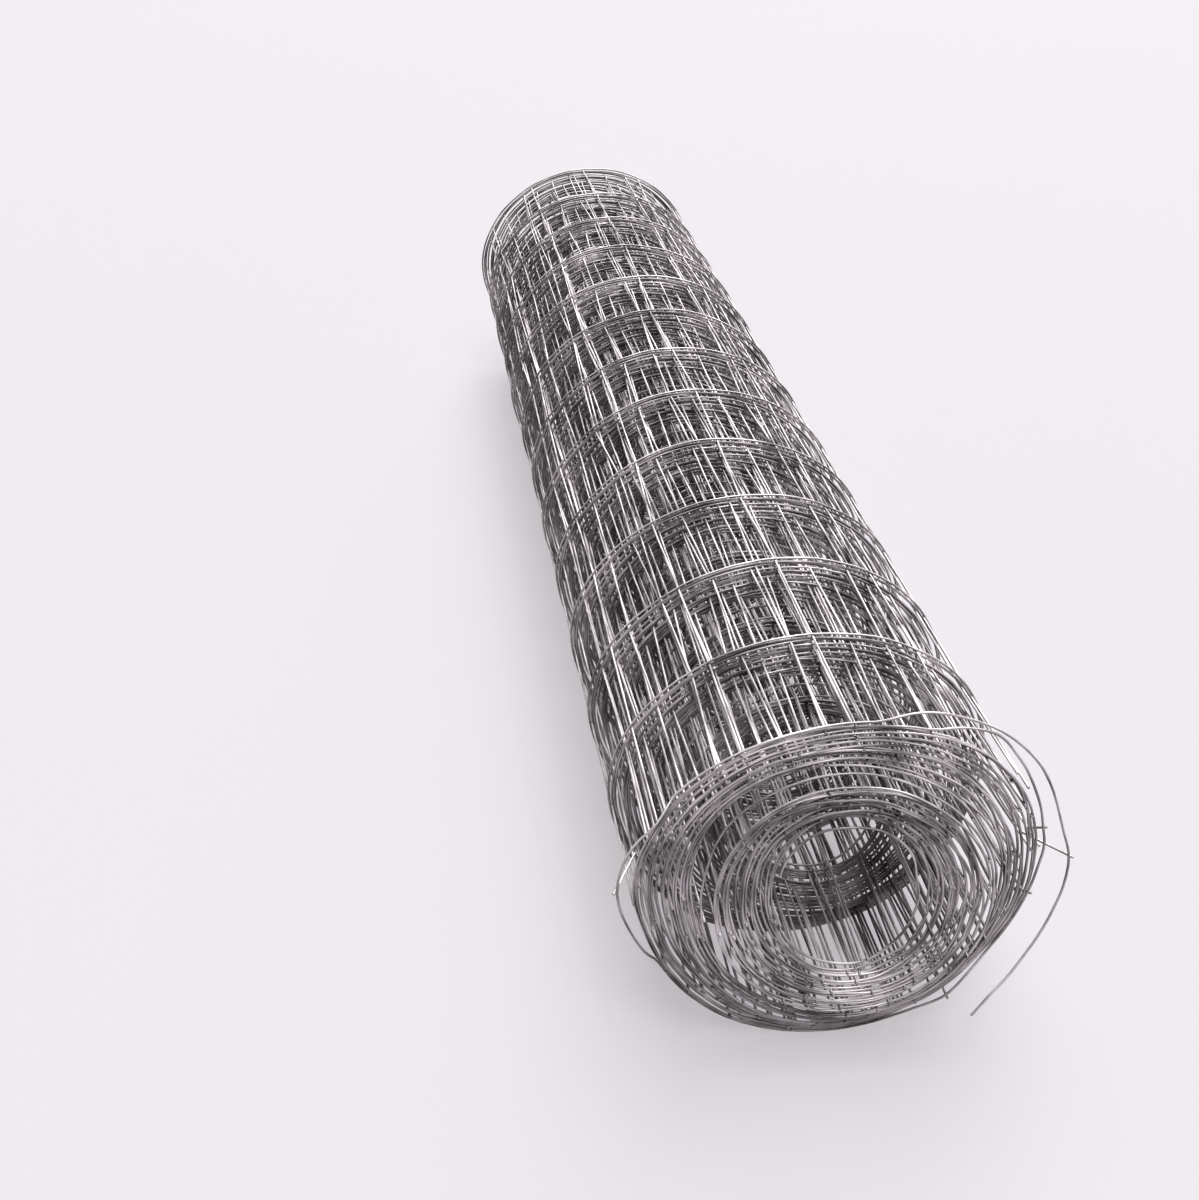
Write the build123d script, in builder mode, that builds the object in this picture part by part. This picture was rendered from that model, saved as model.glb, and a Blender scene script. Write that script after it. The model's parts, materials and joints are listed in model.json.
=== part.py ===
from build123d import *
import os
from math import cos, radians, sin

# Roll of welded steel wire mesh, lying on its side
# Sizes are in millimetres. The roll's axis is along Y and the end that faces the viewer is at -Y.
# The origin is on the axis of the bore, halfway between the two edges of the mesh.

# The mesh
wire_diameter = 1.8
line_wire_pitch = 100.0
line_wire_count = 13
tip_length = 1.6

# The roll
outer_radius = 142.0
bore_radius = 51.0
inner_winding = 40.0
winding_gap = 8.0
inner_turns = 18
outer_turns = 18
turns_in_a_ridge = 3
telescoping = 20.0
groove_depth = 3.0
winding_gap_depth = 40.0

# Where the line wires of all the turns lie over each other, they make a low band
band_width = 9.0

# The sprung wires at the near end: the outermost turn's edge wire ends in a free tail
# Angles are in degrees from +X towards +Z, and each stand-off is from the outside of the roll
tail_start_angle = 84.0
tail_bulge = 15.0
tail_bulge_angle = 49.0
knot_stand_off = 22.8
knot_angle = 1.0
tail_belly = 22.0
tail_belly_angle = -22.0
tail_tip_angle = -50.0
tail_tip_forward = 22.0
tail_tip_above_floor = 17.6

second_start_angle = 66.0
second_bulge = 9.0
second_bulge_angle = 40.0
second_end_angle = -15.0

loop_start_angle = 148.0
loop_bulge = 14.0
loop_bulge_angle = 171.0
loop_end_angle = 204.0

cross_wire_landing = 24.0
wire_sides = 6

# Worked out from the sizes above
mesh_width = line_wire_pitch * (line_wire_count - 1)
edge_y = mesh_width / 2 + wire_diameter / 2 + tip_length
barrel_radius = outer_radius - wire_diameter
gap_inner_radius = bore_radius + inner_winding
gap_outer_radius = gap_inner_radius + winding_gap
inner_ridges = inner_turns // turns_in_a_ridge
outer_ridges = outer_turns // turns_in_a_ridge


def turn_ridges(first_radius, last_radius, ridges, crest_y, side):
    """Points of the saw-tooth that one winding's turns make on an end, from the inside outwards."""
    valley_y = crest_y - side * groove_depth
    ridge_pitch = (last_radius - first_radius) / ridges
    points = [(valley_y, first_radius)]
    for ridge in range(ridges):
        valley_radius = first_radius + (ridge + 1) * ridge_pitch
        points.append((crest_y, valley_radius - ridge_pitch / 2))
        points.append((valley_y, valley_radius))
    return points


def line_wire_bands():
    """Points of the outside, from the far end to the near one: a band at each line wire."""
    points = []
    for index in reversed(range(line_wire_count)):
        middle = index * line_wire_pitch - mesh_width / 2
        if index < line_wire_count - 1:
            points.append((middle + band_width / 2, barrel_radius))
        points.append((middle, outer_radius))
        if index > 0:
            points.append((middle - band_width / 2, barrel_radius))
    return points


def on_edge(radius, angle, forward=0.0):
    """A point beside the near edge wire, by its distance from the axis and its angle from +X."""
    return (radius * cos(radians(angle)), -mesh_width / 2 - forward, radius * sin(radians(angle)))


# The roll: one body of revolution, with its turns on both ends and its bore
# The inner turns have slid out at the near end, and are sunk as far at the other
axial_plane = Plane(origin=(0, 0, 0), x_dir=(0, 1, 0), z_dir=(1, 0, 0))

inner_winding_span = (bore_radius, gap_inner_radius, inner_ridges)
outer_winding_span = (gap_outer_radius, outer_radius, outer_ridges)
near_inner = turn_ridges(*inner_winding_span, -edge_y - telescoping, -1)
near_outer = turn_ridges(*outer_winding_span, -edge_y, -1)
far_inner = turn_ridges(*inner_winding_span, edge_y - telescoping, 1)
far_outer = turn_ridges(*outer_winding_span, edge_y, 1)
gap_floor_y = edge_y - winding_gap_depth
near_gap = [(-gap_floor_y, gap_inner_radius), (-gap_floor_y, gap_outer_radius)]
far_gap = [(gap_floor_y, gap_inner_radius), (gap_floor_y, gap_outer_radius)]
near_profile = near_inner + near_gap + near_outer[:-1]
far_profile = far_inner + far_gap + far_outer[:-1]

with BuildPart() as mesh_roll:
    with BuildSketch(axial_plane):
        with BuildLine():
            Polyline(*far_profile, *line_wire_bands(), *reversed(near_profile), close=True)
        make_face()
    revolve(axis=Axis.Y)

mesh_roll.part.label = "mesh_roll"


# The sprung edge wires: each leaves the outermost turn and stands clear of it
tail_start = on_edge(outer_radius - wire_diameter, tail_start_angle)
tail_bulge_point = on_edge(outer_radius + tail_bulge, tail_bulge_angle)
knot = on_edge(outer_radius + knot_stand_off, knot_angle)
tail_belly_point = on_edge(outer_radius + tail_belly, tail_belly_angle)
tip_radius = (outer_radius - tail_tip_above_floor) / sin(radians(-tail_tip_angle))
tail_tip = on_edge(tip_radius, tail_tip_angle, tail_tip_forward)

second_start = on_edge(outer_radius - wire_diameter, second_start_angle)
second_bulge_point = on_edge(outer_radius + second_bulge, second_bulge_angle)
second_end = on_edge(outer_radius - wire_diameter, second_end_angle)

loop_start = on_edge(outer_radius - wire_diameter, loop_start_angle)
loop_bulge_point = on_edge(outer_radius + loop_bulge, loop_bulge_angle)
loop_end = on_edge(outer_radius - wire_diameter, loop_end_angle)

# The last cross wire crosses the edge wire at the knot, and runs back onto the roll
outward_slope = (knot_stand_off + wire_diameter) / cross_wire_landing
cross_tip_radius = outer_radius + knot_stand_off + outward_slope * tip_length
cross_tip = on_edge(cross_tip_radius, knot_angle, tip_length)
landing = on_edge(outer_radius - wire_diameter, knot_angle, -cross_wire_landing)

with BuildLine() as sprung_stretch:
    ThreePointArc(tail_start, tail_bulge_point, knot)

with BuildLine() as free_tail:
    ThreePointArc(knot, tail_belly_point, tail_tip)

with BuildLine() as second_wire:
    ThreePointArc(second_start, second_bulge_point, second_end)

with BuildLine() as loop:
    ThreePointArc(loop_start, loop_bulge_point, loop_end)

with BuildLine() as last_cross_wire:
    Line(cross_tip, landing)

with BuildPart() as loose_edge_wires:
    for wire in (sprung_stretch, free_tail, second_wire, loop, last_cross_wire):
        with BuildSketch(Plane(origin=wire.line @ 0, z_dir=wire.line % 0)):
            RegularPolygon(wire_diameter / 2, wire_sides)
        sweep(path=wire.line)
    with BuildSketch(Plane.XZ.offset(-mesh_width)):
        Circle(outer_radius)
    extrude(amount=2 * mesh_width, mode=Mode.SUBTRACT)

loose_edge_wires.part.label = "loose_edge_wires"


os.makedirs("parts", exist_ok=True)
export_step(mesh_roll.part, "parts/mesh_roll.step")
export_step(loose_edge_wires.part, "parts/loose_edge_wires.step")
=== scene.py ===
import json
from math import cos, degrees, pi, radians, sin

import bpy
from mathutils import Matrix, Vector, noise

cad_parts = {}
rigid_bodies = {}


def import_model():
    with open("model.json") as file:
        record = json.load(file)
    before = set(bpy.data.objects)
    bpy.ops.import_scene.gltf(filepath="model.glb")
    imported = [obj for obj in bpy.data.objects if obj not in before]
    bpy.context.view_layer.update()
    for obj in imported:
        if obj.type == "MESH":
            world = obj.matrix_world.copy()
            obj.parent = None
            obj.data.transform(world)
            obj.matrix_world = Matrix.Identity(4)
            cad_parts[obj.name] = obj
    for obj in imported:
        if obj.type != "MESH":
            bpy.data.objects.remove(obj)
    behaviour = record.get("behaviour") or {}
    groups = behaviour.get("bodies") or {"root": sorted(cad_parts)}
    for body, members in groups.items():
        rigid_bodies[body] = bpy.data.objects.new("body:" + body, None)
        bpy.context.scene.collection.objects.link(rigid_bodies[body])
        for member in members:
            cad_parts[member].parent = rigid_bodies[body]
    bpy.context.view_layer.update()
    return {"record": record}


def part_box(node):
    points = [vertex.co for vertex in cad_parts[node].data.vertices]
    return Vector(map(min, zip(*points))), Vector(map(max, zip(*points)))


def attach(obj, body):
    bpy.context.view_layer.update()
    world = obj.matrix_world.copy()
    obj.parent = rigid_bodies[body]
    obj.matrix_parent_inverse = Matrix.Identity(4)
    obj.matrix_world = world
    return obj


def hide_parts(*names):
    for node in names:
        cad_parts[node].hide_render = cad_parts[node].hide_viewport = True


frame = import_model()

# A roll of welded mesh. Its sheet is laid out flat, along X from the bore outwards and across Y, and
# its wires are then rolled up along the winding, whose turns nest, lean and slide as hand-rolled ones do.

# Sizes of the mesh, in metres
MM = 0.001
WIRE = 1.8 * MM
WELD_SINK = 0.4 * MM
BEAD_RADIUS = 1.25 * MM
LINE_PITCH = 100 * MM
LINE_WIRES = 13
CROSS_PITCH = 75 * MM
HALF = LINE_PITCH * (LINE_WIRES - 1) / 2

# The cross wires lie inside the line wires, sunk a little into them, and stick out past the edges by a
# short tip. The line wires run on past the last cross wire in a tail.
UNDER = WELD_SINK - WIRE
TIP = 1.6 * MM
TIPS = HALF + WIRE / 2 + TIP
TAIL = 45 * MM

# Sizes of the roll: its box and bore are the frame's, and its inner winding and the gap are as in the CAD
roll_low, roll_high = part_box("mesh_roll")
FLOOR = roll_low[2]
OUTER_WIRE = roll_high[0] - WIRE / 2
BORE = frame["record"]["mounts"][0]["dims"]["r_mm"] * MM
INNER_WINDING = 40 * MM
WINDING_GAP = 8 * MM
FIRST_WIRE = BORE + 1.5 * WIRE
FIRST_WIRE_OUTSIDE = FIRST_WIRE + INNER_WINDING + WINDING_GAP

# The winding, in turns from the bore. The sheet starts just over half a turn on, the inner winding is
# full at LAST_INSIDE and the outer one starts at FIRST_OUTSIDE.
TURNS_INSIDE = 18
TURNS = 36
FIRST_TURN = 0.55
LAST_INSIDE = TURNS_INSIDE + 0.8
FIRST_OUTSIDE = TURNS_INSIDE + 1
INSIDE_PITCH = (INNER_WINDING - 2 * WIRE) / LAST_INSIDE
OUTSIDE_PITCH = (OUTER_WIRE - FIRST_WIRE_OUTSIDE) / (TURNS - FIRST_OUTSIDE)

# The mesh ends on the right of the roll, at this angle in degrees, and its line wires run round
# clockwise from the bore outwards, seen from the near end
END_ANGLE = 1.0


def linear(hex_colour):
    """The linear colour, with alpha, of an sRGB hex value."""
    parts = [int(hex_colour[place:place + 2], 16) / 255 for place in (1, 3, 5)]
    return [part / 12.92 if part <= 0.04045 else ((part + 0.055) / 1.055) ** 2.4 for part in parts] + [1.0]


def add_node(tree, kind, settings=None, inputs=None):
    """Adds a node with its settings, each input set to a value or linked from another node's socket."""
    node = tree.nodes.new(kind)
    for name, value in (settings or {}).items():
        setattr(node, name, value)
    for key, value in (inputs or {}).items():
        if isinstance(value, bpy.types.NodeSocket):
            tree.links.new(value, node.inputs[key])
        else:
            node.inputs[key].default_value = value
    return node


def add_sockets(tree, ins, outs):
    """Gives a node tree its named inputs, each with its kind and value, and its outputs."""
    for name, (kind, value) in ins.items():
        socket = tree.interface.new_socket(name, in_out="INPUT", socket_type=kind)
        if value is not None:
            socket.default_value = value
    for name, kind in outs.items():
        tree.interface.new_socket(name, in_out="OUTPUT", socket_type=kind)
    return add_node(tree, "NodeGroupInput").outputs, add_node(tree, "NodeGroupOutput")


# How the sheet is wound


def smooth_step(low, high, value):
    """0 up to the low value and 1 from the high one on, with a smooth rise between them."""
    share = min(max((value - low) / (high - low), 0.0), 1.0)
    return share * share * (3 - 2 * share)


def hump(rise, fall, value):
    """0, and 1 between the smooth rise and the smooth fall, each given by where it starts and ends."""
    return smooth_step(*rise, value) * (1 - smooth_step(*fall, value))


def between(marks, place):
    """A smooth value at a place, through the values of the marks before and after it."""
    if place <= marks[0][0]:
        return marks[0][1]
    if place >= marks[-1][0]:
        return marks[-1][1]
    after = next(index for index, mark in enumerate(marks) if mark[0] > place)
    slopes = []
    for index in (after - 1, after):
        first, last = marks[max(index - 1, 0)], marks[min(index + 1, len(marks) - 1)]
        slopes.append((last[1] - first[1]) / (last[0] - first[0]))
    (x0, y0), (x1, y1) = marks[after - 1], marks[after]
    span = x1 - x0
    share = (place - x0) / span
    rest = 1 - share
    ends = y0 * rest * rest * (1 + 2 * share) + y1 * share * share * (1 + 2 * rest)
    return ends + span * share * rest * (slopes[0] * rest - slopes[1] * share)


# How the first and last turn of each winding lie, in mm: how far they have slid forward, and how far
# they stand off a true circle. Each is given as so much all round, then so much more at the right and
# at the top, and then the same twice a turn, as an oval: along the level and along the rising diagonal.
# The outer winding's last turn stands off by SWELL instead, in mm by angle in degrees.
INNER_SLIDE = ((10, 7.3, -9.8, 0, 0), (20.9, 12.7, -15.2, 0, 1.2))
OUTER_SLIDE = ((11.8, 10, -10.1, -1.9, 2), (-3.9, 4.1, -2.9, -5.8, 0.8))
INNER_STAND_OFF = ((-0.9, 3.6, 1.1, -4.1, -1.2), (2.2, 0, 2.3, 1.7, 1))
OUTER_STAND_OFF = (2.6, 0, 1, -2.9, -2.8)
SWELL = (
    (0, 1.5), (33, 2), (61, -0.5), (90, -0.9), (136, 1.1), (174, 4), (198, -0.5), (218, -0.8),
    (236, 1), (271, 0), (300, 1), (332, 2.5), (360, 1.5),
)

# Where the winding crosses to the outer part: at this angle in degrees it steps out, sags back halfway
# and then the rest of the way, and a turn later steps out for good. Each step starts and ends so many
# turns from there, and goes so much of the way back inside.
CROSSING_ANGLE = -100
CROSSING_STEPS = ((-0.15, 0.2, -1), (0.16, 0.27, 0.5), (0.72, 0.88, 0.5), (0.85, 1.2, -1))

# Loose turns nest in threes and fours, and more slightly in sevens, with long thin gaps between. Each
# of these waves has its height, its number in a turn and its start.
NESTING = ((1.0 * MM, 1.29, 0.6), (0.6 * MM, 2.14, 2.0))

# Loose turns also wander, in and out and along the roll, and the near edge has a wander of its own. Each
# has about the most it comes to, how fast it changes round the roll and from turn to turn, and its start.
WANDER_OUT = (0.9 * MM, 1.0, 0.6, 0)
WANDERS_ALONG = ((4 * MM, 0.6, 0.55, 3), (2.5 * MM, 1.8, 1.3, 7))
EDGE_WANDER = (4 * MM, 1.7, 1.9, 11)

# They nest and wander this much less at the foot, under the roll's weight, and at the very end, where
# the last turns settle on the roll's full size
UNDER_LOAD = 0.6
HELD_AT_END = 0.7
SETTLING_TURNS = 1.5

# The first turn has come loose into the bore by so much, and leaves and meets the rest at these turns
FIRST_TURN_OFF = 6 * MM
FIRST_TURN_LEAVES = (0.4, 0.75)
FIRST_TURN_MEETS = (1.1, 1.4)


def oval(shares, angle):
    """A value that changes once and twice round the roll."""
    all_round, right, top, level, rising = shares
    once = right * cos(angle) + top * sin(angle)
    return all_round + once + level * cos(2 * angle) + rising * sin(2 * angle)


def oval_between(first, last, share, angle):
    """A value round the roll for a turn so far on from a winding's first one to its last."""
    return oval(first, angle) * (1 - share) + oval(last, angle) * share


def turn_angle(turn):
    """The angle, in radians from +X towards +Z, at which the winding stands after so many turns."""
    return radians(END_ANGLE) + 2 * pi * (TURNS - turn)


def turn_at(angle, turn_near):
    """The turn nearest to the one given at which the winding stands at this angle in degrees."""
    turn = TURNS - (angle - END_ANGLE) / 360
    return turn + round(turn_near - turn)


def wander(turn, most, round_the_roll, turn_to_turn, start):
    """Noise that changes smoothly round the roll and from each turn to the next."""
    angle = turn_angle(turn)
    around = Vector((cos(angle), sin(angle), 0))
    return most * noise.noise(round_the_roll * around + Vector((start, 0, turn_to_turn * turn)))


def inside_share(turn):
    """1 in the inner winding and 0 in the outer one, with the turn between them that crosses over."""
    first = turn_at(CROSSING_ANGLE, TURNS_INSIDE)
    steps = (share * smooth_step(first + start, first + end, turn) for start, end, share in CROSSING_STEPS)
    return 1 + sum(steps)


def winding_point(turn):
    """Where a line wire of the middle of the sheet lies, after so many turns from the bore."""
    angle = turn_angle(turn)
    inside = inside_share(turn)
    inner_share = min(turn / LAST_INSIDE, 1.0)
    outer_share = max((turn - FIRST_OUTSIDE) / (TURNS - FIRST_OUTSIDE), 0.0)
    loose = 1 - HELD_AT_END * smooth_step(TURNS - SETTLING_TURNS, TURNS, turn)
    loose *= 1 - UNDER_LOAD * (0.5 - 0.5 * sin(angle)) ** 2

    inner_off = oval_between(*INNER_STAND_OFF, inner_share, angle)
    swell = between(SWELL, degrees(angle) % 360)
    outer_off = oval(OUTER_STAND_OFF, angle) * (1 - outer_share) + swell * outer_share
    inner_radius = FIRST_WIRE + INSIDE_PITCH * turn + inner_off * MM
    outer_radius = FIRST_WIRE_OUTSIDE + OUTSIDE_PITCH * (turn - FIRST_OUTSIDE) + outer_off * MM
    radius = outer_radius + (inner_radius - outer_radius) * inside
    radius += loose * sum(height * sin(2 * pi * waves * turn + start) for height, waves, start in NESTING)
    radius += loose * wander(turn, *WANDER_OUT)
    radius -= FIRST_TURN_OFF * hump(FIRST_TURN_LEAVES, FIRST_TURN_MEETS, turn)

    inner_slide = oval_between(*INNER_SLIDE, inner_share, angle)
    outer_slide = oval_between(*OUTER_SLIDE, outer_share, angle)
    along = -(outer_slide + (inner_slide - outer_slide) * inside) * MM
    along += loose * sum(wander(turn, *way) for way in WANDERS_ALONG)
    return Vector((radius * cos(angle), along, radius * sin(angle)))


# At the near edge the last turns have relaxed to the right, by so many mm this many turns before the
# end. That sets in and fades out between these angles in degrees.
RELAXED = ((-8, 0), (-5, 2), (-3.5, 3), (-2.1, 3.5), (-1.1, 2.5), (-0.1, 1))
RELAXED_RISE = (-40, 0)
RELAXED_FALL = (45, 80)

# The turns below them wander a little, each its own way: so much of it all round, and this much more at
# the right and less at the left. The wander fades out between these turns.
EDGE_ALL_ROUND = 0.6
EDGE_AT_RIGHT = 0.4
EDGE_FADES = (TURNS - 2, TURNS - 1)


def relaxed(turn):
    """How far the near edge stands out from the rest of the roll."""
    angle = turn_angle(turn)
    heading = (degrees(angle) + 180) % 360 - 180
    amount = between(RELAXED, turn - TURNS) * MM * hump(RELAXED_RISE, RELAXED_FALL, heading)
    loose = (EDGE_ALL_ROUND + EDGE_AT_RIGHT * cos(angle)) * (1 - smooth_step(*EDGE_FADES, turn))
    return amount + loose * wander(turn, *EDGE_WANDER)


# Where the near edge's line wire has sprung off the roll. Each mark has its angle in degrees, its
# distance from the roll's axis and how far it stands forward of the edge, in mm.
LEFT_LOOP = (
    (194.8, 141.9, 0), (183.3, 149.3, 0), (174.2, 155.1, 0), (170, 155.1, 0), (164.4, 154.6, 0),
    (158, 152.5, 0), (152, 147, 0),
)
SECOND_WIRE = (
    (60, 147.5, 1), (51.6, 153.1, 1), (42, 150.2, 2), (28.8, 145.8, 2), (13.6, 144.4, 1), (6, 144.5, 1),
    (-2.9, 142.4, 0), (-11.4, 141.2, 0), (-23.1, 140.3, 1), (-34.2, 140, 3), (-43.3, 140.3, 7),
    (-51.8, 141.5, 11), (-61.8, 140, 9), (-70.4, 140, 7), (-79.2, 140.5, 6),
)
FREE_TAIL = (
    (72.4, 149.9, 0), (62.3, 152.6, 0), (49.1, 156.6, 0), (36, 157.7, 0), (21.5, 156.7, 0),
    (10.5, 158.8, 0), (1, 164.7, 0), (-9.3, 167.1, 0.5), (-15.7, 165.2, 3), (-26.2, 163.5, 8),
    (-36.1, 162, 14), (-43.6, 161.1, 18), (-50, 162.4, 22),
)

# Each stretch is near a turn, and leaves the roll and comes back to it at these angles in degrees. The
# free tail doesn't come back. A stretch is taken to end PAST_THE_END turns later, so that the last point
# of the tail's guide still belongs to it.
LOOP_TURN = TURNS - 0.5
SECOND_TURN = TURNS - 1.1
SPRUNG = (
    (LOOP_TURN, 206, 145, LEFT_LOOP),
    (SECOND_TURN, 68, -100, SECOND_WIRE),
    (TURNS, 84, None, FREE_TAIL),
)
PAST_THE_END = 0.001
TAIL_END = turn_at(FREE_TAIL[-1][0], TURNS)

# The near edge's wire has lost its welds over so many turns before the end
SPRUNG_TURNS = 1.25


def outward_at(point):
    """The direction from the roll's axis to a point."""
    return Vector((point.x, 0, point.z)).normalized()


def sprung_marks(turn_near, start, end, marks):
    """A sprung stretch's marks by turn: how far out from the winding, and how far forward."""
    out, forward = [(turn_at(start, turn_near), 0.0)], [(turn_at(start, turn_near), 0.0)]
    for angle, radius, ahead in marks:
        turn = turn_at(angle, turn_near)
        on_roll = winding_point(turn)
        out.append((turn, radius * MM - Vector((on_roll.x, on_roll.z)).length - relaxed(turn)))
        forward.append((turn, ahead * MM + on_roll.y))
    if end is not None:
        out.append((turn_at(end, turn_near), 0.0))
        forward.append((turn_at(end, turn_near), 0.0))
    return out, forward


STRETCHES = [sprung_marks(*stretch) for stretch in SPRUNG]


def near_edge_point(turn):
    """Where the near edge's line wire lies, the stretches that have sprung off the roll included."""
    point = winding_point(turn)
    outward = outward_at(point)
    point += outward * relaxed(turn)
    for out, forward in STRETCHES:
        if out[0][0] < turn < out[-1][0] + PAST_THE_END:
            point += outward * between(out, turn) - Vector((0, between(forward, turn), 0))
    return point


def curve_through(name, points, radii=None):
    """A curve of straight runs through points, each with its own radius where that is given."""
    curve = bpy.data.curves.new(name, "CURVE")
    curve.dimensions = "3D"
    spline = curve.splines.new("POLY")
    spline.points.add(len(points) - 1)
    for index, point in enumerate(points):
        spline.points[index].co = (*point, 1)
        if radii:
            spline.points[index].radius = radii[index]
    holder = bpy.data.objects.new(name, curve)
    bpy.context.scene.collection.objects.link(holder)
    return holder


# A curve's radius can't be less than nothing, so the guides carry this much more than the edge opens
OPENING_BASE = 10 * MM
GUIDE_POINTS_PER_TURN = 120


def winding_guide(name, place, last_turn, opening):
    """A curve along the winding, for the wires to be laid along, and its length.

    The curve's radius says how far the near edge opens out there.
    """
    steps = round((last_turn - FIRST_TURN) * GUIDE_POINTS_PER_TURN)
    turns = [FIRST_TURN + (last_turn - FIRST_TURN) * step / steps for step in range(steps + 1)]
    points = [place(turn) for turn in turns]
    length = sum((after - before).length for before, after in zip(points, points[1:]))
    return curve_through(name, points, [OPENING_BASE + opening(turn) for turn in turns]), length


# Materials


def new_material(name):
    """A new material, its node tree and its shader."""
    material = bpy.data.materials.new(name)
    material.use_nodes = True
    return material, material.node_tree, material.node_tree.nodes["Principled BSDF"]


def galvanised_wire():
    """Drawn steel wire, hot-dip galvanised: dull grey zinc, streaked along the wire, with a soft sheen.

    Zinc that has weathered carries a pale powdery oxide, which scatters light as paint does, so less of
    the light is mirrored than from bright metal.
    """
    material, tree, shader = new_material("galvanised_drawn_wire")
    shader.inputs["Metallic"].default_value = 0.3
    skin = add_node(tree, "ShaderNodeAttribute", {"attribute_name": "skin"}).outputs["Vector"]
    # Drawing marks run along the wire, up to half a millimetre wide and 20 mm long
    streaks = add_node(tree, "ShaderNodeTexNoise", {}, {"Vector": skin, "Scale": 1.0, "Detail": 3.0})
    patches = add_node(tree, "ShaderNodeTexCoord").outputs["Object"]
    # The zinc has dulled in patches some 40 mm across
    patina = add_node(tree, "ShaderNodeTexNoise", {}, {"Vector": patches, "Scale": 25.0, "Detail": 4.0})
    share = add_node(
        tree, "ShaderNodeMath", {"operation": "ADD"}, {0: streaks.outputs["Fac"], 1: patina.outputs["Fac"]}
    )
    share = add_node(
        tree, "ShaderNodeMapRange", {}, {"Value": share.outputs[0], "From Min": 0.75, "From Max": 1.25}
    )
    colour = add_node(tree, "ShaderNodeValToRGB", {}, {"Fac": share.outputs["Result"]})
    colour.color_ramp.elements[0].color = linear("#807d7e")
    colour.color_ramp.elements[1].color = linear("#d0ccce")
    sheen = add_node(
        tree, "ShaderNodeMapRange", {}, {"Value": share.outputs["Result"], "To Min": 0.65, "To Max": 0.5}
    )
    tree.links.new(colour.outputs["Color"], shader.inputs["Base Color"])
    tree.links.new(sheen.outputs["Result"], shader.inputs["Roughness"])
    return material


def weld_bead_zinc():
    """Resistance welds made before the zinc bath: a bead coloured darker than the wire as painted shade,
    for the shade that falls where the wires cross, and mottled in spots.
    """
    material, tree, shader = new_material("galvanised_weld_bead")
    shader.inputs["Metallic"].default_value = 1.0
    shader.inputs["Roughness"].default_value = 0.5
    place = add_node(tree, "ShaderNodeTexCoord").outputs["Object"]
    # The darker spots of this painted shade are about 3 mm across, so one bead is darker than the next
    mottle = add_node(tree, "ShaderNodeTexNoise", {}, {"Vector": place, "Scale": 300.0, "Detail": 2.0})
    # Both greys of the ramp are painted shade at the crossings, darker than the wire's own zinc
    colour = add_node(tree, "ShaderNodeValToRGB", {}, {"Fac": mottle.outputs["Fac"]})
    colour.color_ramp.elements[0].position = 0.35
    colour.color_ramp.elements[0].color = linear("#5d595a")
    colour.color_ramp.elements[1].position = 0.7
    colour.color_ramp.elements[1].color = linear("#aaa6a7")
    tree.links.new(colour.outputs["Color"], shader.inputs["Base Color"])
    return material


# Node groups that lay the flat sheet along its winding

# Loose turns bulge over a long way and kink over a short one. Only the floor stops a point, so along X
# and Y its lowest place is out of reach.
BULGE_SIZE = 140 * MM
KINK_SIZE = 30 * MM
OUT_OF_REACH = -10.0

# How many times a metre the lean of the cells changes, along the sheet and across it
LEAN_CHANGES = (7.0, 4.5, 0.0)

# For the drawing marks, the wire's skin is measured in half millimetres round the wire
HALF_MM_PER_METRE = 2000.0


def settling():
    """Moves a point as the loose turns do: together with all that is near it, and not through the floor."""
    tree = bpy.data.node_groups.new("settle", "GeometryNodeTree")
    ins, out = add_sockets(
        tree,
        {
            "Position": ("NodeSocketVector", None),
            "Bulge": ("NodeSocketFloat", 5 * MM),
            "Kink": ("NodeSocketFloat", 1.2 * MM),
        },
        {"Position": "NodeSocketVector"},
    )
    place = ins["Position"]
    for size, amount in ((BULGE_SIZE, ins["Bulge"]), (KINK_SIZE, ins["Kink"])):
        pattern = add_node(
            tree, "ShaderNodeTexNoise", {}, {"Vector": ins["Position"], "Scale": 1 / size, "Detail": 0.0}
        )
        shift = add_node(
            tree, "ShaderNodeVectorMath", {"operation": "SUBTRACT"},
            {0: pattern.outputs["Color"], 1: (0.5, 0.5, 0.5)},
        )
        shift = add_node(
            tree, "ShaderNodeVectorMath", {"operation": "SCALE"}, {0: shift.outputs[0], "Scale": amount}
        )
        moved = add_node(
            tree, "ShaderNodeVectorMath", {"operation": "ADD"}, {0: place, 1: shift.outputs[0]}
        )
        place = moved.outputs[0]
    lowest = (OUT_OF_REACH, OUT_OF_REACH, FLOOR + WIRE / 2)
    place = add_node(tree, "ShaderNodeVectorMath", {"operation": "MAXIMUM"}, {0: place, 1: lowest})
    tree.links.new(place.outputs[0], out.inputs["Position"])
    return tree


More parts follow.
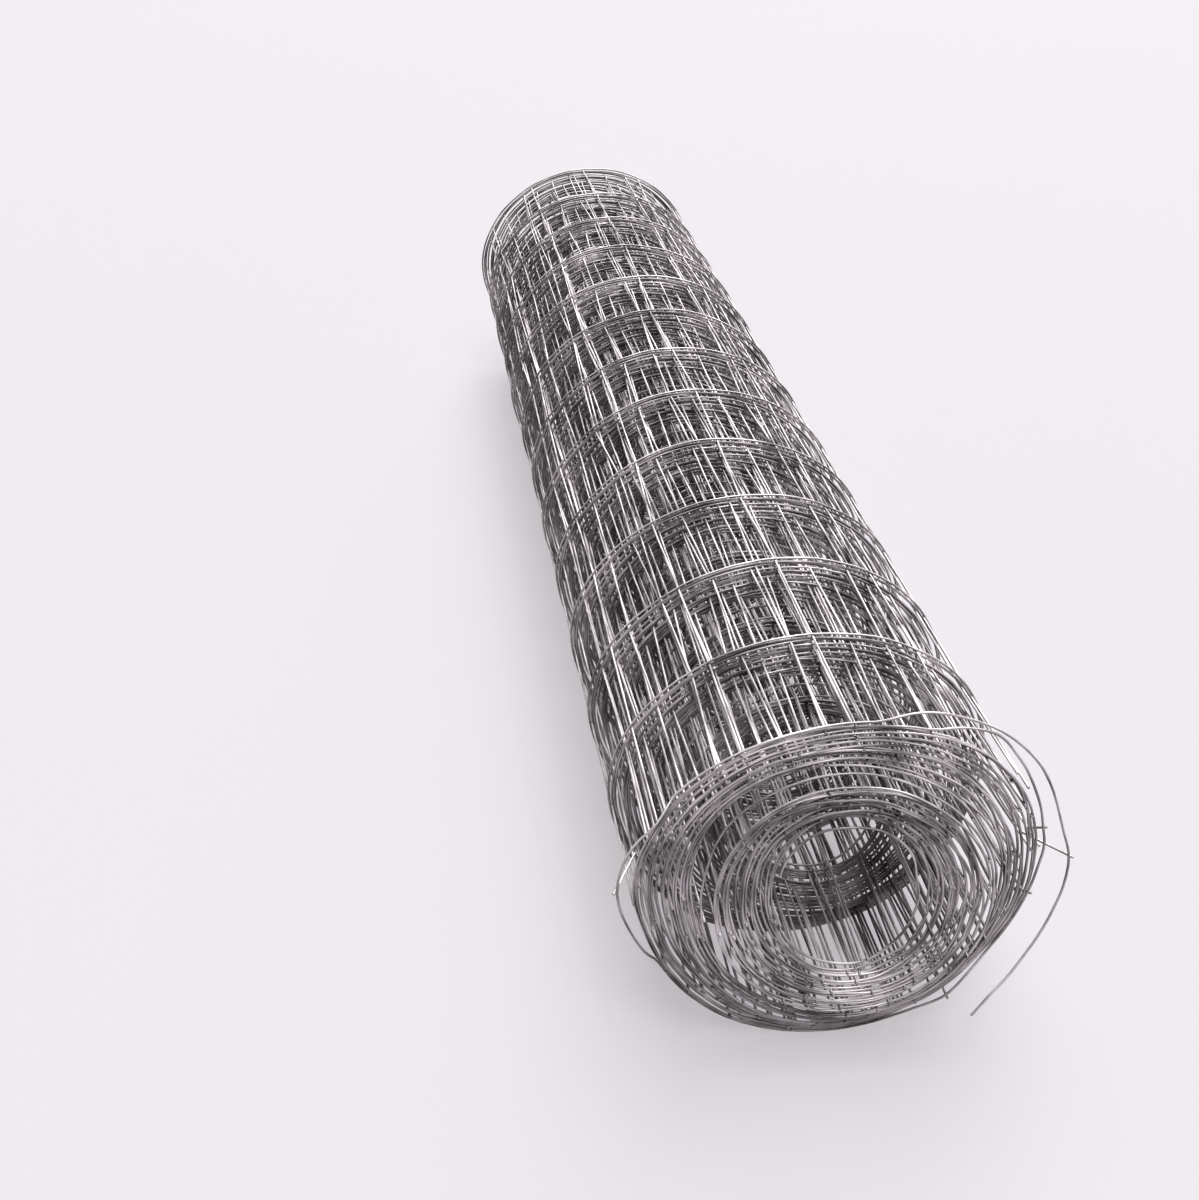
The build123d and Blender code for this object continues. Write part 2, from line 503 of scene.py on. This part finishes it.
def rolling_up(settle):
    """Rolls up the flat sheet: along it, across it and outward from it become a place in the roll."""
    tree = bpy.data.node_groups.new("roll_up", "GeometryNodeTree")
    ins, out = add_sockets(
        tree,
        {
            "Guide": ("NodeSocketGeometry", None),
            "Outward": ("NodeSocketFloat", 0.0),
            "Slip": ("NodeSocketFloat", 0.0),
        },
        {"Position": "NodeSocketVector"},
    )
    flat = add_node(tree, "GeometryNodeInputPosition").outputs[0]
    parts = add_node(tree, "ShaderNodeSeparateXYZ", {}, {0: flat}).outputs
    # The cells of the mesh lean this way and that, so the cross wires of the turns don't lie parallel
    lean = add_node(tree, "ShaderNodeVectorMath", {"operation": "MULTIPLY"}, {0: flat, 1: LEAN_CHANGES})
    lean = add_node(
        tree, "ShaderNodeTexNoise", {}, {"Vector": lean.outputs[0], "Scale": 1.0, "Detail": 1.0}
    )
    lean = add_node(tree, "ShaderNodeMath", {"operation": "SUBTRACT"}, {0: lean.outputs["Fac"], 1: 0.5})
    lean = add_node(
        tree, "ShaderNodeMath", {"operation": "MULTIPLY_ADD"},
        {0: lean.outputs[0], 1: ins["Slip"], 2: parts["X"]},
    )
    opening = add_node(tree, "GeometryNodeInputRadius")
    wound = add_node(
        tree, "GeometryNodeSampleCurve", {"mode": "LENGTH", "data_type": "FLOAT"},
        {"Curves": ins["Guide"], "Value": opening.outputs[0], "Length": lean.outputs[0]},
    )
    # The last cell before the near edge opens out with it
    edge = add_node(
        tree, "ShaderNodeMapRange", {},
        {
            "Value": parts["Y"], "From Min": LINE_PITCH - HALF, "From Max": -HALF,
            "To Min": 0.0, "To Max": 1.0,
        },
    )
    opening = add_node(
        tree, "ShaderNodeMath", {"operation": "SUBTRACT"}, {0: wound.outputs["Value"], 1: OPENING_BASE}
    )
    off = add_node(
        tree, "ShaderNodeMath", {"operation": "MULTIPLY_ADD"},
        {0: opening.outputs[0], 1: edge.outputs["Result"], 2: ins["Outward"]},
    )
    outward = add_node(
        tree, "ShaderNodeVectorMath", {"operation": "MULTIPLY"},
        {0: wound.outputs["Position"], 1: (1.0, 0.0, 1.0)},
    )
    outward = add_node(tree, "ShaderNodeVectorMath", {"operation": "NORMALIZE"}, {0: outward.outputs[0]})
    outward = add_node(
        tree, "ShaderNodeVectorMath", {"operation": "SCALE"},
        {0: outward.outputs[0], "Scale": off.outputs[0]},
    )
    across = add_node(tree, "ShaderNodeCombineXYZ", {}, {"Y": parts["Y"]})
    place = add_node(
        tree, "ShaderNodeVectorMath", {"operation": "ADD"},
        {0: wound.outputs["Position"], 1: across.outputs[0]},
    )
    place = add_node(
        tree, "ShaderNodeVectorMath", {"operation": "ADD"}, {0: place.outputs[0], 1: outward.outputs[0]}
    )
    settled = add_node(tree, "GeometryNodeGroup", {"node_tree": settle}, {"Position": place.outputs[0]})
    tree.links.new(settled.outputs[0], out.inputs["Position"])
    return tree


def wire_skin():
    """Gives curves a round wire's skin and its finish."""
    tree = bpy.data.node_groups.new("wire_skin", "GeometryNodeTree")
    ins, out = add_sockets(
        tree,
        {
            "Curves": ("NodeSocketGeometry", None),
            "Diameter": ("NodeSocketFloat", WIRE),
            "Sides": ("NodeSocketInt", 6),
            "Marks Per Metre": ("NodeSocketFloat", 50.0),
            "Finish": ("NodeSocketMaterial", None),
        },
        {"Wires": "NodeSocketGeometry"},
    )
    length = add_node(tree, "GeometryNodeSplineParameter").outputs["Length"]
    length = add_node(
        tree, "ShaderNodeMath", {"operation": "MULTIPLY"}, {0: length, 1: ins["Marks Per Metre"]}
    )
    curves = add_node(
        tree, "GeometryNodeStoreNamedAttribute", {"data_type": "FLOAT"},
        {"Geometry": ins["Curves"], "Name": "along_the_wire", "Value": length.outputs[0]},
    )
    curves = add_node(tree, "GeometryNodeSetCurveRadius", {}, {"Curve": curves.outputs[0], "Radius": 1.0})
    radius = add_node(tree, "ShaderNodeMath", {"operation": "MULTIPLY"}, {0: ins["Diameter"], 1: 0.5})
    ring = add_node(
        tree, "GeometryNodeCurvePrimitiveCircle", {"mode": "RADIUS"},
        {"Radius": radius.outputs[0], "Resolution": ins["Sides"]},
    )
    around = add_node(tree, "GeometryNodeInputPosition").outputs[0]
    around = add_node(
        tree, "ShaderNodeVectorMath", {"operation": "SCALE"}, {0: around, "Scale": HALF_MM_PER_METRE}
    )
    ring = add_node(
        tree, "GeometryNodeStoreNamedAttribute", {"data_type": "FLOAT_VECTOR"},
        {"Geometry": ring.outputs["Curve"], "Name": "round_the_wire", "Value": around.outputs[0]},
    )
    wires = add_node(
        tree, "GeometryNodeCurveToMesh", {},
        {"Curve": curves.outputs[0], "Profile Curve": ring.outputs["Geometry"], "Fill Caps": True},
    )
    around = add_node(
        tree, "GeometryNodeInputNamedAttribute", {"data_type": "FLOAT_VECTOR"}, {"Name": "round_the_wire"}
    )
    length = add_node(
        tree, "GeometryNodeInputNamedAttribute", {"data_type": "FLOAT"}, {"Name": "along_the_wire"}
    )
    length = add_node(tree, "ShaderNodeCombineXYZ", {}, {"Z": length.outputs["Attribute"]})
    skin = add_node(
        tree, "ShaderNodeVectorMath", {"operation": "ADD"},
        {0: around.outputs["Attribute"], 1: length.outputs[0]},
    )
    skin = add_node(
        tree, "GeometryNodeStoreNamedAttribute", {"data_type": "FLOAT_VECTOR"},
        {"Geometry": wires.outputs["Mesh"], "Name": "skin", "Value": skin.outputs[0]},
    )
    smooth = add_node(tree, "GeometryNodeSetShadeSmooth", {}, {"Geometry": skin.outputs["Geometry"]})
    real = add_node(tree, "GeometryNodeRealizeInstances", {}, {"Geometry": smooth.outputs["Geometry"]})
    finish = add_node(
        tree, "GeometryNodeSetMaterial", {}, {"Geometry": real.outputs[0], "Material": ins["Finish"]}
    )
    tree.links.new(finish.outputs[0], out.inputs["Wires"])
    return tree


def laid_in_roll(tree, ins, flat, roll_up):
    """Adds the nodes that move a part of the flat sheet to its place in the roll."""
    guide = add_node(tree, "GeometryNodeObjectInfo", {}, {"Object": ins["Guide"]})
    place = add_node(
        tree, "GeometryNodeGroup", {"node_tree": roll_up},
        {"Guide": guide.outputs["Geometry"], "Outward": ins["Outward"], "Slip": ins["Slip"]},
    )
    return add_node(
        tree, "GeometryNodeSetPosition", {}, {"Geometry": flat.outputs[0], "Position": place.outputs[0]}
    )


def rolled_wires(roll_up, skin):
    """A tree for a set of like wires: straight in the flat sheet, and then rolled up with it."""
    tree = bpy.data.node_groups.new("rolled_wires", "GeometryNodeTree")
    ins, out = add_sockets(
        tree,
        {
            "Guide": ("NodeSocketObject", None),
            "Start": ("NodeSocketVector", None),
            "End": ("NodeSocketVector", None),
            "Step": ("NodeSocketVector", None),
            "Count": ("NodeSocketInt", 1),
            "Points": ("NodeSocketInt", 2),
            "Outward": ("NodeSocketFloat", 0.0),
            "Slip": ("NodeSocketFloat", 0.0),
            "Sides": ("NodeSocketInt", 6),
            "Finish": ("NodeSocketMaterial", None),
        },
        {"Geometry": "NodeSocketGeometry"},
    )
    one = add_node(tree, "GeometryNodeCurvePrimitiveLine", {}, {"Start": ins["Start"], "End": ins["End"]})
    one = add_node(
        tree, "GeometryNodeResampleCurve", {"mode": "COUNT"},
        {"Curve": one.outputs[0], "Count": ins["Points"]},
    )
    places = add_node(
        tree, "GeometryNodeMeshLine", {"mode": "OFFSET"}, {"Count": ins["Count"], "Offset": ins["Step"]}
    )
    flat = add_node(
        tree, "GeometryNodeInstanceOnPoints", {}, {"Points": places.outputs[0], "Instance": one.outputs[0]}
    )
    flat = add_node(tree, "GeometryNodeRealizeInstances", {}, {"Geometry": flat.outputs[0]})
    rolled_up = laid_in_roll(tree, ins, flat, roll_up)
    wires = add_node(
        tree, "GeometryNodeGroup", {"node_tree": skin},
        {"Curves": rolled_up.outputs[0], "Sides": ins["Sides"], "Finish": ins["Finish"]},
    )
    tree.links.new(wires.outputs[0], out.inputs["Geometry"])
    return tree


def bent_wires(settle, skin):
    """A tree for wires that are already bent to their place in the roll, and only settle with it."""
    tree = bpy.data.node_groups.new("bent_wires", "GeometryNodeTree")
    ins, out = add_sockets(
        tree,
        {
            "Wires": ("NodeSocketCollection", None),
            "Sides": ("NodeSocketInt", 8),
            "Finish": ("NodeSocketMaterial", None),
        },
        {"Geometry": "NodeSocketGeometry"},
    )
    wires = add_node(tree, "GeometryNodeCollectionInfo", {}, {"Collection": ins["Wires"]})
    wires = add_node(tree, "GeometryNodeRealizeInstances", {}, {"Geometry": wires.outputs[0]})
    here = add_node(tree, "GeometryNodeInputPosition").outputs[0]
    place = add_node(tree, "GeometryNodeGroup", {"node_tree": settle}, {"Position": here})
    wires = add_node(
        tree, "GeometryNodeSetPosition", {}, {"Geometry": wires.outputs[0], "Position": place.outputs[0]}
    )
    wires = add_node(
        tree, "GeometryNodeGroup", {"node_tree": skin},
        {"Curves": wires.outputs[0], "Sides": ins["Sides"], "Finish": ins["Finish"]},
    )
    tree.links.new(wires.outputs[0], out.inputs["Geometry"])
    return tree


def rolled_welds(roll_up):
    """A tree for the weld beads, one at each crossing of the flat sheet, rolled up with it."""
    tree = bpy.data.node_groups.new("rolled_welds", "GeometryNodeTree")
    ins, out = add_sockets(
        tree,
        {
            "Guide": ("NodeSocketObject", None),
            "Start": ("NodeSocketVector", None),
            "Cross Step": ("NodeSocketVector", None),
            "Cross Wires": ("NodeSocketInt", 1),
            "Line Step": ("NodeSocketVector", None),
            "Line Wires": ("NodeSocketInt", 1),
            "Outward": ("NodeSocketFloat", 0.0),
            "Slip": ("NodeSocketFloat", 0.0),
            "Radius": ("NodeSocketFloat", 1.0),
            "Finish": ("NodeSocketMaterial", None),
        },
        {"Geometry": "NodeSocketGeometry"},
    )
    lines = add_node(
        tree, "GeometryNodeMeshLine", {"mode": "OFFSET"},
        {"Count": ins["Line Wires"], "Start Location": ins["Start"], "Offset": ins["Line Step"]},
    )
    crosses = add_node(
        tree, "GeometryNodeMeshLine", {"mode": "OFFSET"},
        {"Count": ins["Cross Wires"], "Offset": ins["Cross Step"]},
    )
    flat = add_node(
        tree, "GeometryNodeInstanceOnPoints", {},
        {"Points": crosses.outputs[0], "Instance": lines.outputs[0]},
    )
    flat = add_node(tree, "GeometryNodeRealizeInstances", {}, {"Geometry": flat.outputs[0]})
    rolled_up = laid_in_roll(tree, ins, flat, roll_up)
    bead = add_node(tree, "GeometryNodeMeshIcoSphere", {}, {"Radius": ins["Radius"], "Subdivisions": 1})
    beads = add_node(
        tree, "GeometryNodeInstanceOnPoints", {},
        {"Points": rolled_up.outputs[0], "Instance": bead.outputs[0]},
    )
    smooth = add_node(tree, "GeometryNodeSetShadeSmooth", {}, {"Geometry": beads.outputs[0]})
    real = add_node(tree, "GeometryNodeRealizeInstances", {}, {"Geometry": smooth.outputs[0]})
    finish = add_node(
        tree, "GeometryNodeSetMaterial", {}, {"Geometry": real.outputs[0], "Material": ins["Finish"]}
    )
    tree.links.new(finish.outputs[0], out.inputs["Geometry"])
    return tree


def grown(name, tree, values):
    """Runs a tree with its named inputs set, and keeps the result as a plain mesh object."""
    maker = bpy.data.objects.new(name + "_maker", bpy.data.meshes.new(name + "_seed"))
    bpy.context.scene.collection.objects.link(maker)
    modifier = maker.modifiers.new("grow", "NODES")
    modifier.node_group = tree
    sockets = {item.name: item.identifier for item in tree.interface.items_tree if item.in_out == "INPUT"}
    for key, value in values.items():
        modifier[sockets[key]] = value
    bpy.context.view_layer.update()
    graph = bpy.context.evaluated_depsgraph_get()
    mesh = bpy.data.meshes.new_from_object(maker.evaluated_get(graph), depsgraph=graph)
    mesh.name = name
    bpy.data.objects.remove(maker)
    piece = bpy.data.objects.new(name, mesh)
    bpy.context.scene.collection.objects.link(piece)
    return piece


# The camera and the studio

# The camera of the photograph, found from the roll's end and its hoops. It stands to the left of the
# axis, before the near edge and above the axis, and looks down and to the right, in degrees. Its lens
# and sensor are in mm.
LENS = 43.1
SENSOR_WIDTH = 36
CAMERA_LEFT = 269.8 * MM
CAMERA_BEFORE = 683.4 * MM
CAMERA_ABOVE = 699.8 * MM
CAMERA_DOWN = 33.1
CAMERA_RIGHT = 8.6

FLOOR_REACH = 12.0


def add_camera():
    """The camera, at the photograph's viewing angle."""
    data = bpy.data.cameras.new("camera")
    data.sensor_width = SENSOR_WIDTH
    data.lens = LENS
    data.clip_start = 0.01
    camera = bpy.data.objects.new("camera", data)
    camera.location = (-CAMERA_LEFT, -HALF - CAMERA_BEFORE, CAMERA_ABOVE)
    camera.rotation_euler = (radians(90 - CAMERA_DOWN), 0, radians(-CAMERA_RIGHT))
    bpy.context.scene.collection.objects.link(camera)
    bpy.context.scene.camera = camera


def add_floor():
    """A plain pale floor under the roll, which gives off some light so that its shadows stay pale."""
    corners = [(x * FLOOR_REACH, y * FLOOR_REACH, FLOOR) for x, y in ((-1, -1), (1, -1), (1, 1), (-1, 1))]
    mesh = bpy.data.meshes.new("floor")
    mesh.from_pydata(corners, [], [(0, 1, 2, 3)])
    material, _, shader = new_material("pale_floor")
    shader.inputs["Base Color"].default_value = linear("#595859")
    shader.inputs["Roughness"].default_value = 0.9
    shader.inputs["Specular IOR Level"].default_value = 0.1
    shader.inputs["Emission Color"].default_value = linear("#fffcff")
    shader.inputs["Emission Strength"].default_value = 0.36
    mesh.materials.append(material)
    floor = bpy.data.objects.new("floor", mesh)
    bpy.context.scene.collection.objects.link(floor)


def add_light(name, elevation, bearing, width, strength):
    """A wide soft light, so high over the floor and so far round from behind the roll, all in degrees."""
    data = bpy.data.lights.new(name, "SUN")
    data.angle = radians(width)
    data.energy = strength
    light = bpy.data.objects.new(name, data)
    light.rotation_euler = (radians(elevation - 90), 0, radians(bearing))
    bpy.context.scene.collection.objects.link(light)


def add_studio():
    """Soft light from above, from behind the roll and from over the camera, with a pale backdrop."""
    world = bpy.data.worlds.new("studio")
    world.use_nodes = True
    sky = world.node_tree
    ground = sky.nodes["Background"]
    ground.inputs["Color"].default_value = linear("#f8f5f7")
    # On every side the backdrop is pale up to about 9 degrees over the level, and dark from about 20 on
    direction = add_node(sky, "ShaderNodeTexCoord").outputs["Generated"]
    rise = add_node(sky, "ShaderNodeSeparateXYZ", {}, {0: direction})
    glow = add_node(
        sky, "ShaderNodeMapRange", {"interpolation_type": "SMOOTHSTEP"},
        {"Value": rise.outputs["Z"], "From Min": 0.15, "From Max": 0.35, "To Min": 0.55, "To Max": 0.04},
    )
    sky.links.new(glow.outputs["Result"], ground.inputs["Strength"])
    bpy.context.scene.world = world
    add_light("top", elevation=75, bearing=-20, width=48, strength=3.0)
    add_light("back", elevation=35, bearing=-25, width=40, strength=0.95)
    add_light("front", elevation=64, bearing=188, width=30, strength=1.85)
    settings = bpy.context.scene.view_settings
    settings.view_transform = "Standard"
    settings.look = "Very High Contrast"
    settings.gamma = 0.85


add_camera()
add_floor()
add_studio()

# The pieces

finish = galvanised_wire()
weld_finish = weld_bead_zinc()
settle = settling()
roll_up = rolling_up(settle)
skin = wire_skin()
rolled = rolled_wires(roll_up, skin)
bent = bent_wires(settle, skin)
welds = rolled_welds(roll_up)

# The lean moves a wire along the sheet by up to half of SLIP each way, and the sheet starts and ends SLIP
# inside its guide. The points of a line wire are SPACING apart, and those of the near edge's half that.
SLIP = 26 * MM
SPACING = 10 * MM
last_guide_turn = TURNS + (TAIL + SLIP) / (2 * pi * OUTER_WIRE)
guide, guide_length = winding_guide("winding", winding_point, last_guide_turn, relaxed)
near_guide, near_length = winding_guide("near_edge_winding", near_edge_point, TAIL_END, lambda turn: 0)

# The last cross wire has been pulled off the roll with the free tail, so it is among the bent wires
sheet_end = guide_length - SLIP
last_cross = sheet_end - TAIL - CROSS_PITCH
cross_count = int((last_cross - SLIP) / CROSS_PITCH)
first_cross = last_cross - (cross_count - 1) * CROSS_PITCH

# The near edge's wire is laid a thousandth of a millimetre before the sheet's edge
NEAR_EDGE = -HALF - 0.001 * MM

# How far behind the edge the last cross wire meets the roll again, and how far over its seat there. It
# crosses the near edge's wire just before the mesh's end, in turns.
LANDING = 24 * MM
LANDING_LIFT = 1.5 * MM
LAST_CROSSING = TURNS - 0.0001

# The other cross wires that have been pulled off. Each has the angle in degrees, and about the turn, at
# which it crosses the near edge's wire. It is tucked into the winding so many thousandths of a turn back
# round it and so many mm behind the edge.
PULLED_OFF = (
    (13.6, TURNS - 1, -9, 7),
    (-11.4, TURNS - 1, -6, 7),
    (-51.8, TURNS - 1, 2, 10),
    (174.2, LOOP_TURN, -12, 12),
)
TUCKED_IN = 4 * MM

# How far along to each side a point is taken, in turns, to see which way the near edge's wire runs
BESIDE = 0.002


def line_wires(name, first, count):
    """Line wires of the sheet, from the one given on, counted from the near edge."""
    across = first * LINE_PITCH - HALF
    return grown(name, rolled, {
        "Guide": guide, "Start": (SLIP, across, 0), "End": (sheet_end, across, 0),
        "Step": (0, LINE_PITCH, 0), "Count": count, "Points": round(sheet_end / SPACING),
        "Slip": SLIP, "Sides": 6, "Finish": finish,
    })


def beads_on(name, first, count, cross_wires):
    """The weld beads on so many line wires, from the one given on, of so many cross wires."""
    return grown(name, welds, {
        "Guide": guide, "Start": (first_cross, first * LINE_PITCH - HALF, 0),
        "Cross Step": (CROSS_PITCH, 0, 0), "Cross Wires": cross_wires,
        "Line Step": (0, LINE_PITCH, 0), "Line Wires": count,
        "Outward": UNDER / 2, "Slip": SLIP, "Radius": BEAD_RADIUS, "Finish": weld_finish,
    })


def bent_ends():
    """The cross wires that the sprung edge wire has pulled off the roll, from their tips to the roll."""
    on_roll = winding_point(LAST_CROSSING)
    outward = outward_at(on_roll)
    seat = on_roll + outward * UNDER
    places = [seat + Vector((0, index * LINE_PITCH - HALF, 0)) for index in range(1, LINE_WIRES)]
    places[-1].y = TIPS
    landing = seat + Vector((0, LANDING - HALF, 0)) + outward * LANDING_LIFT
    ends = [(LAST_CROSSING, landing, places)]
    for angle, turn_near, back_round, behind in PULLED_OFF:
        turn = turn_at(angle, turn_near)
        on_roll = winding_point(turn - back_round * 0.001)
        landing = on_roll - outward_at(on_roll) * TUCKED_IN + Vector((0, behind * MM - HALF, 0))
        ends.append((turn, landing, []))
    holders = bpy.data.collections.new("bent_ends")
    for index, (turn, landing, rest) in enumerate(ends):
        knot = near_edge_point(turn) + Vector((0, -HALF, 0))
        toward = (landing - knot).normalized()
        along_edge = near_edge_point(turn + BESIDE) - near_edge_point(turn - BESIDE)
        knot += toward.cross(along_edge).normalized() * UNDER
        points = [knot - toward * (WIRE / 2 + TIP), knot, landing] + rest
        holder = curve_through("bent_end_%d" % index, points)
        bpy.context.scene.collection.objects.unlink(holder)
        holders.objects.link(holder)
    return holders


near_lines = line_wires("line_wires_near_half", 1, 6)
far_lines = line_wires("line_wires_far_half", 7, 6)
near_edge = grown("near_edge_wire", rolled, {
    "Guide": near_guide, "Start": (0, NEAR_EDGE, 0), "End": (near_length, NEAR_EDGE, 0), "Count": 1,
    "Points": round(near_length / (SPACING / 2)), "Sides": 8, "Finish": finish,
})
cross = grown("cross_wires", rolled, {
    "Guide": guide, "Start": (first_cross, -TIPS, 0), "End": (first_cross, TIPS, 0),
    "Step": (CROSS_PITCH, 0, 0), "Count": cross_count, "Points": LINE_WIRES,
    "Outward": UNDER, "Slip": SLIP, "Sides": 8, "Finish": finish,
})
beads = beads_on("weld_beads", 1, LINE_WIRES - 1, cross_count)
# The near edge has its beads only as far as its wire is still welded on
sprung_cross_wires = int(SPRUNG_TURNS * 2 * pi * OUTER_WIRE / CROSS_PITCH)
edge_beads = beads_on("edge_weld_beads", 0, 1, cross_count - sprung_cross_wires)
bent_holders = bent_ends()
pulled = grown("pulled_cross_wires", bent, {"Wires": bent_holders, "Sides": 8, "Finish": finish})
for holder in list(bent_holders.objects) + [guide, near_guide]:
    bpy.data.objects.remove(holder)
bpy.data.collections.remove(bent_holders)

for piece in (near_lines, far_lines, near_edge, cross, beads, edge_beads, pulled):
    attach(piece, "root")
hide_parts("mesh_roll")
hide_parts("loose_edge_wires")
